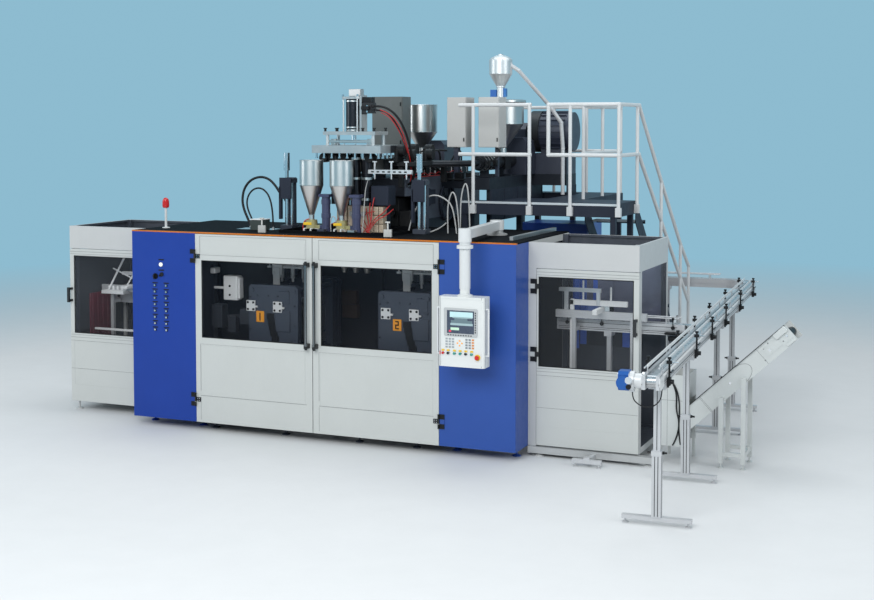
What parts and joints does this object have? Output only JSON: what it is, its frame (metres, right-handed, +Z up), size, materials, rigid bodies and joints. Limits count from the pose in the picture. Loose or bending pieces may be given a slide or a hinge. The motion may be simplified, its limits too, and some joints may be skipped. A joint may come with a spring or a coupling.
{
  "type": "blow moulding machine",
  "caption": "Guarded extrusion blow moulding machine with sliding clamp stations, die head, extruders, service platform and a slat chain outfeed line.",
  "frame": {"origin": "middle of the machine's footprint, on the floor", "axes": "+X right along the front, +Y to the back, +Z up"},
  "size_m": [8.4258, 7.5122, 4.254],
  "materials": {
    "pale_panel": "satin powder coat",
    "blue_panel": "satin powder coat",
    "slate_paint": "satin paint",
    "white_paint": "satin paint",
    "dark_steel": "satin dark finish",
    "grey_paint": "satin paint",
    "orange_trim": "satin paint with an orange front edge",
    "steel": "brushed",
    "aluminium": "anodised",
    "chrome": "polished",
    "clear": "clear",
    "black_plastic": "matt",
    "blue_plastic": "matt",
    "red_plastic": "gloss",
    "grey_plastic": "matt",
    "black_rubber": "matt"
  },
  "bodies": {
    "machine": {"base_frame": "slate_paint", "guard_frame": "pale_panel", "roof_deck": "orange_trim", "left_cabinet": "blue_panel", "right_cabinet": "blue_panel", "left_wing": "pale_panel", "right_wing": "pale_panel", "fixed_panes": "clear", "fixed_hinge_leaves": "black_plastic", "beacon_light": "red_plastic", "panel_mount": "grey_paint", "extruder_frame": "slate_paint", "extruder_drive": "dark_steel", "extruder_barrel": "dark_steel", "die_head": "steel", "head_tower": "steel", "feed_hoppers": "steel", "vacuum_loader": "steel", "control_boxes": "grey_paint", "platform": "slate_paint", "handrails": "white_paint", "conveyor_frame": "aluminium", "conveyor_chain": "grey_plastic", "conveyor_drive": "blue_plastic", "scrap_conveyor": "aluminium", "scrap_belt": "black_rubber", "hose_loop_outer": "black_rubber", "hose_loop_inner": "black_rubber", "head_hose_front": "black_rubber", "head_hose_rear": "black_rubber", "motor_cable": "black_rubber"},
    "left_door_leaf": {"left_door": "pale_panel", "left_door_glass": "clear", "left_door_handle": "black_plastic"},
    "right_door_leaf": {"right_door": "pale_panel", "right_door_glass": "clear", "right_door_handle": "black_plastic"},
    "left_wing_leaf": {"left_wing_door": "pale_panel", "left_wing_door_glass": "clear"},
    "right_wing_leaf": {"right_wing_door": "pale_panel", "right_wing_door_glass": "clear"},
    "swing_arm": {"panel_arm": "white_paint"},
    "operator_panel": {"panel_housing": "white_paint", "panel_screen": "black_plastic"},
    "stop_button": {"emergency_stop": "red_plastic"},
    "main_switch": {"selector_knob": "red_plastic"},
    "left_station": {"left_carriage": "slate_paint"},
    "left_front_clamp": {"left_front_platen": "slate_paint"},
    "left_rear_clamp": {"left_rear_platen": "slate_paint"},
    "right_station": {"right_carriage": "slate_paint"},
    "right_front_clamp": {"right_front_platen": "slate_paint"},
    "right_rear_clamp": {"right_rear_platen": "slate_paint"},
    "left_pins": {"left_blow_pins": "steel"},
    "right_pins": {"right_blow_pins": "steel"},
    "screw": {"extruder_screw": "steel"},
    "mandrels": {"head_rod": "chrome"},
    "drive_wheel": {"drive_sprocket": "steel"},
    "idler_wheel": {"idler_sprocket": "steel"},
    "scrap_drive": {"scrap_drive_drum": "steel"},
    "scrap_tail": {"scrap_tail_drum": "steel"}
  },
  "joints": [
    {"name": "left_door_hinge", "type": "hinge", "parent": "machine", "child": "left_door_leaf", "pos_m": [-2.21785, -1.85088, 1.15], "axis": [0, 0, -1], "range_deg": [0, 90]},
    {"name": "right_door_hinge", "type": "hinge", "parent": "machine", "child": "right_door_leaf", "pos_m": [0.71215, -1.85088, 1.15], "axis": [0, 0, 1], "range_deg": [0, 90]},
    {"name": "left_wing_hinge", "type": "hinge", "parent": "machine", "child": "left_wing_leaf", "pos_m": [-3.13785, -1.47088, 1], "axis": [0, 0, 1], "range_deg": [0, 90]},
    {"name": "right_wing_hinge", "type": "hinge", "parent": "machine", "child": "right_wing_leaf", "pos_m": [1.63215, -1.47088, 1], "axis": [0, 0, -1], "range_deg": [0, 90]},
    {"name": "arm_swing", "type": "hinge", "parent": "machine", "child": "swing_arm", "pos_m": [0.98715, -0.88688, 2.3], "axis": [0, 0, 1], "range_deg": [-20, 40]},
    {"name": "panel_swivel", "type": "hinge", "parent": "swing_arm", "child": "operator_panel", "pos_m": [1.11915, -2.13688, 1.8], "axis": [0, 0, 1], "range_deg": [-10, 25]},
    {"name": "stop_push", "type": "slide", "parent": "operator_panel", "child": "stop_button", "axis": [0, 1, 0], "range_m": [0, 0.005], "stiffness_N_per_m": 900},
    {"name": "switch_turn", "type": "hinge", "parent": "machine", "child": "main_switch", "pos_m": [-2.74085, -1.83688, 1.702], "axis": [0, 1, 0], "range_deg": [0, 90]},
    {"name": "left_shift", "type": "slide", "parent": "machine", "child": "left_station", "axis": [1, 0, 0], "range_m": [0, 0.8]},
    {"name": "left_front_clamping", "type": "slide", "parent": "left_station", "child": "left_front_clamp", "axis": [0, 1, 0], "range_m": [0, 0.2]},
    {"name": "left_rear_clamping", "type": "slide", "parent": "left_station", "child": "left_rear_clamp", "axis": [0, 1, 0], "range_m": [-0.2, 0]},
    {"name": "right_shift", "type": "slide", "parent": "machine", "child": "right_station", "axis": [1, 0, 0], "range_m": [-0.8, 0]},
    {"name": "right_front_clamping", "type": "slide", "parent": "right_station", "child": "right_front_clamp", "axis": [0, 1, 0], "range_m": [0, 0.2]},
    {"name": "right_rear_clamping", "type": "slide", "parent": "right_station", "child": "right_rear_clamp", "axis": [0, 1, 0], "range_m": [-0.2, 0]},
    {"name": "left_pin_stroke", "type": "slide", "parent": "machine", "child": "left_pins", "axis": [0, 0, 1], "range_m": [-0.25, 0]},
    {"name": "right_pin_stroke", "type": "slide", "parent": "machine", "child": "right_pins", "axis": [0, 0, 1], "range_m": [-0.25, 0]},
    {"name": "screw_turn", "type": "hinge", "parent": "machine", "child": "screw", "pos_m": [0.34715, 0.76312, 2.95], "axis": [0, 1, 0], "continuous": true},
    {"name": "mandrel_lift", "type": "slide", "parent": "machine", "child": "mandrels", "axis": [0, 0, 1], "range_m": [0, 0.03]},
    {"name": "drive_wheel_turn", "type": "hinge", "parent": "machine", "child": "drive_wheel", "pos_m": [3.39515, -3.63688, 1.276], "axis": [0.9977, 0.0684, 0], "continuous": true},
    {"name": "idler_wheel_turn", "type": "hinge", "parent": "machine", "child": "idler_wheel", "pos_m": [1.59503, 3.61703, 1.276], "axis": [-0.0684, 0.9977, 0], "continuous": true},
    {"name": "scrap_drive_turn", "type": "hinge", "parent": "machine", "child": "scrap_drive", "pos_m": [4.10418, -1.03688, 1.353], "axis": [0, 1, 0], "continuous": true},
    {"name": "scrap_tail_turn", "type": "hinge", "parent": "machine", "child": "scrap_tail", "pos_m": [3.05103, -1.03688, 0.37092], "axis": [0, 1, 0], "continuous": true}
  ],
  "couplings": [
    {"joint": "left_rear_clamping", "follows": "left_front_clamping", "ratio": -1},
    {"joint": "right_rear_clamping", "follows": "right_front_clamping", "ratio": -1},
    {"joint": "idler_wheel_turn", "follows": "drive_wheel_turn", "ratio": 1},
    {"joint": "scrap_tail_turn", "follows": "scrap_drive_turn", "ratio": 1}
  ]
}
